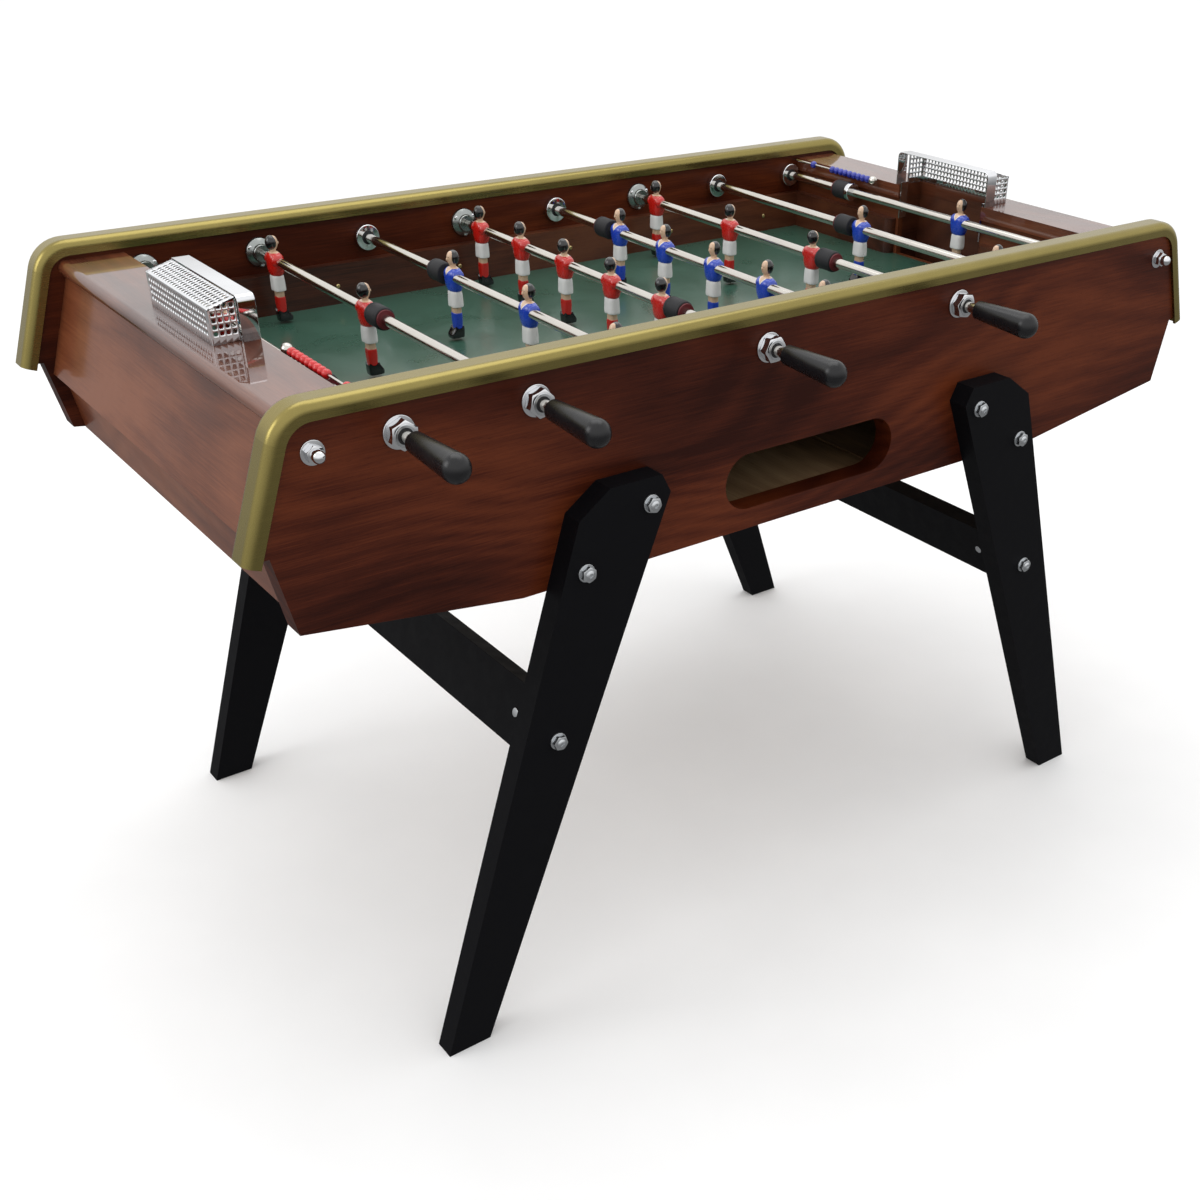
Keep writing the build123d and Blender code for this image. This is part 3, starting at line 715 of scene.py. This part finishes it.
def make_ledge_screws():
    """Small brass screws that hold the long ledges to the walls."""
    low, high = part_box("ledges")
    thickness, from_end, below_top, radius, count = 0.015, 0.09, 0.030, 0.0032, 6
    bm = bmesh.new()
    for i in range(count):
        x = low.x + from_end + (high.x - low.x - 2 * from_end) * i / (count - 1)
        for side, y in ((1, low.y + thickness), (-1, high.y - thickness)):
            screw_head(bm, Vector((x, y, high.z - below_top)), (0, side, 0), radius)
    new_piece("ledge_screws", bm, [M["screw"]], "table")


# ---------------------------------------------------------------- goal cages
def cage_mesh(low, high, board_top):
    """The right goal's chrome net: a folded sheet of holes whose roof falls to the back."""
    pitch, hole, columns, rows, deep = 0.0072, 0.0049, 24, 4, 4
    half, roof, drop = high.y - 0.005, high.z - 0.002, 0.009
    front, back, top_border = low.x + BAND_DEPTH, high.x, 0.3 * pitch
    depth = back - front
    side = (2 * half - columns * pitch) / 2
    deep_side = (depth - deep * pitch) / 2
    low_rim = roof - drop - board_top - rows * pitch - top_border
    slope = Vector((depth, 0, -drop)).normalized()
    bm = bmesh.new()
    grid(bm, (back, -half, board_top), (0, 1, 0), (0, 0, 1), columns, rows, pitch, hole,
         side, low_rim, top_border)
    roof_end = (math.hypot(depth, drop) - deep * pitch) / 2
    grid(bm, (front, -half, roof), (0, 1, 0), slope, columns, deep, pitch, hole, side,
         roof_end, roof_end)
    for y in (-half, half):
        grid(bm, (front, y, board_top), (1, 0, 0), (0, 0, 1), deep, rows + 1, pitch, hole,
             deep_side, low_rim, roof - board_top - low_rim - (rows + 1) * pitch)
    for vertex in bm.verts:
        limit = roof - drop * (vertex.co.x - front) / depth
        vertex.co.z = min(vertex.co.z, limit)
    bmesh.ops.remove_doubles(bm, verts=bm.verts, dist=2e-5)
    bmesh.ops.dissolve_degenerate(bm, dist=1e-5, edges=bm.edges)
    bmesh.ops.recalc_face_normals(bm, faces=bm.faces)
    return bm


def grid(bm, origin, across, up, columns, rows, pitch, hole, side, bottom, top):
    """A flat sheet of holes between plain borders of width side, bottom and top."""
    around, quarter = 16, 4
    xs = [-side] + [pitch * i for i in range(columns + 1)] + [pitch * columns + side]
    ys = [-bottom] + [pitch * j for j in range(rows + 1)] + [pitch * rows + top]

    def at(u, v):
        return bm.verts.new(Vector(origin) + Vector(across) * (u + side)
                            + Vector(up) * (v + bottom))

    for i, (x0, x1) in enumerate(zip(xs, xs[1:])):
        for j, (y0, y1) in enumerate(zip(ys, ys[1:])):
            corners = [(x0, y0), (x1, y0), (x1, y1), (x0, y1)]
            edge = [at(a + (c - a) * k / quarter, b + (d - b) * k / quarter)
                    for (a, b), (c, d) in zip(corners, corners[1:] + corners[:1])
                    for k in range(quarter)]
            if i in (0, len(xs) - 2) or j in (0, len(ys) - 2):
                bm.faces.new(edge)
                continue
            ring = []
            for k in range(around):
                angle = -3 * math.pi / 4 + 2 * math.pi * k / around
                c, s = math.cos(angle), math.sin(angle)
                reach = hole / 2 / (abs(c) ** 3 + abs(s) ** 3) ** (1 / 3)
                ring.append(at((x0 + x1) / 2 + reach * c, (y0 + y1) / 2 + reach * s))
            for k in range(around):
                after = (k + 1) % around
                bm.faces.new((edge[k], edge[after], ring[after], ring[k]))


def band_mesh(low, high, board_top, depth):
    """The smooth front hoop of a cage, whose sides run down to the board top."""
    bm = bmesh.new()
    radius, steps = 0.007, 5
    outline = [(-high.y, board_top)]
    for side in (-1, 1):
        centre = (side * (high.y - radius), high.z - radius)
        angles = [math.pi - math.pi / 2 * k / steps if side < 0 else
                  math.pi / 2 - math.pi / 2 * k / steps for k in range(steps + 1)]
        outline += [(centre[0] + radius * math.cos(a), centre[1] + radius * math.sin(a))
                    for a in angles]
    outline.append((high.y, board_top))
    rows = []
    for share in (0, 0.02, 0.98, 1):
        rows.append([bm.verts.new((low.x + depth * share, y, z)) for y, z in outline])
    for a, b in zip(rows, rows[1:]):
        for k in range(len(outline) - 1):
            bm.faces.new((a[k], b[k], b[k + 1], a[k + 1]))
    bmesh.ops.recalc_face_normals(bm, faces=bm.faces)
    return bm


def cage_tabs(low, board_top, mouth):
    """Feet that hang down both sides of the goal mouth, each with a screw."""
    bm = bmesh.new()
    for side in (-1, 1):
        made = bmesh.ops.create_cube(bm, size=1)["verts"]
        for v in made:
            v.co = Vector((low.x + (0.003 if v.co.x < 0 else 0.019),
                           side * (mouth - (0.002 if v.co.y < 0 else 0.0003)),
                           low.z if v.co.z < 0 else board_top + 0.004))
        edges = [e for v in made for e in v.link_edges]
        bmesh.ops.bevel(bm, geom=list(set(edges)), offset=0.0005, segments=2, affect="EDGES")
        screw_head(bm, Vector((low.x + 0.011, side * (mouth - 0.002), low.z + 0.012)),
                   (0, -side, 0), 0.0036)
    bmesh.ops.recalc_face_normals(bm, faces=bm.faces)
    return bm


def make_cages():
    low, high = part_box("right_goal_cage")
    board_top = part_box("right_end_top")[1].z
    parts = (("net", cage_mesh(low, high, board_top)),
             ("band", band_mesh(low, high, board_top, BAND_DEPTH)),
             ("tabs", cage_tabs(low, board_top, MOUTH_HALF)))
    for label, bm in parts:
        mesh = bpy.data.meshes.new("cage_" + label)
        bm.to_mesh(mesh)
        bm.free()
        mesh.materials.append(M["chrome"])
        mesh.shade_smooth()
        mesh.set_sharp_from_angle(angle=math.radians(35))
        for where, turn in (("right", Matrix()), ("left", HALF_TURN)):
            node = where + "_goal_cage"
            piece = put(f"{node}_{label}", mesh, turn, BODY_OF[node], (node,))
            if label == "tabs":
                continue
            if label == "net":
                bend = piece.modifiers.new("bent_corners", "BEVEL")
                bend.width, bend.segments = 0.0010, 3
                bend.limit_method, bend.angle_limit = "ANGLE", math.radians(60)
            solid = piece.modifiers.new("sheet", "SOLIDIFY")
            solid.thickness, solid.offset = 0.0012, -1


# ---------------------------------------------------------------- everything in place
make_camera()
make_world()
make_floor(pale_floor())
area_light("overhead", (0.3, 0.4, 3.0), (0, 0, 0.7), (2.4, 1.8), 20)
area_light("left_key", (-3.0, 0.6, 2.4), (0, 0, 0.6), (1.6, 1.6), 20)

give("lino", "playfield")
give("brass", "near_rail", "far_rail")
give("top", "left_end_top", "right_end_top")
give("board", "end_aprons", "lower_end_panels", "goal_walls")
give("plywood", "ball_tray", "ball_floors")
give("inner", "ledges", "goal_chutes")
give("steel", "guide_rods", "score_wires", *(n for n in NODES if n.endswith("_tube")))
give("grip", *(n for n in NODES if n.endswith("_handle")))
give("red_bead", "red_stock_beads", "red_goal_bead")
give("blue_bead", "blue_stock_beads", "blue_goal_bead")

softened("near_side_wall", "wall", 0.0015, 3)
softened("far_side_wall", "wall", 0.0015, 3)
softened("legs", "leg_paint", 0.0012)
softened("crossbars", "leg_paint", 0.0015)
make_men()
make_collars()
make_bearings()
make_end_flanges()
make_leg_bolts()
make_apron_bolts()
make_ledge_screws()
make_cages()

bpy.context.scene.view_settings.view_transform = "Standard"
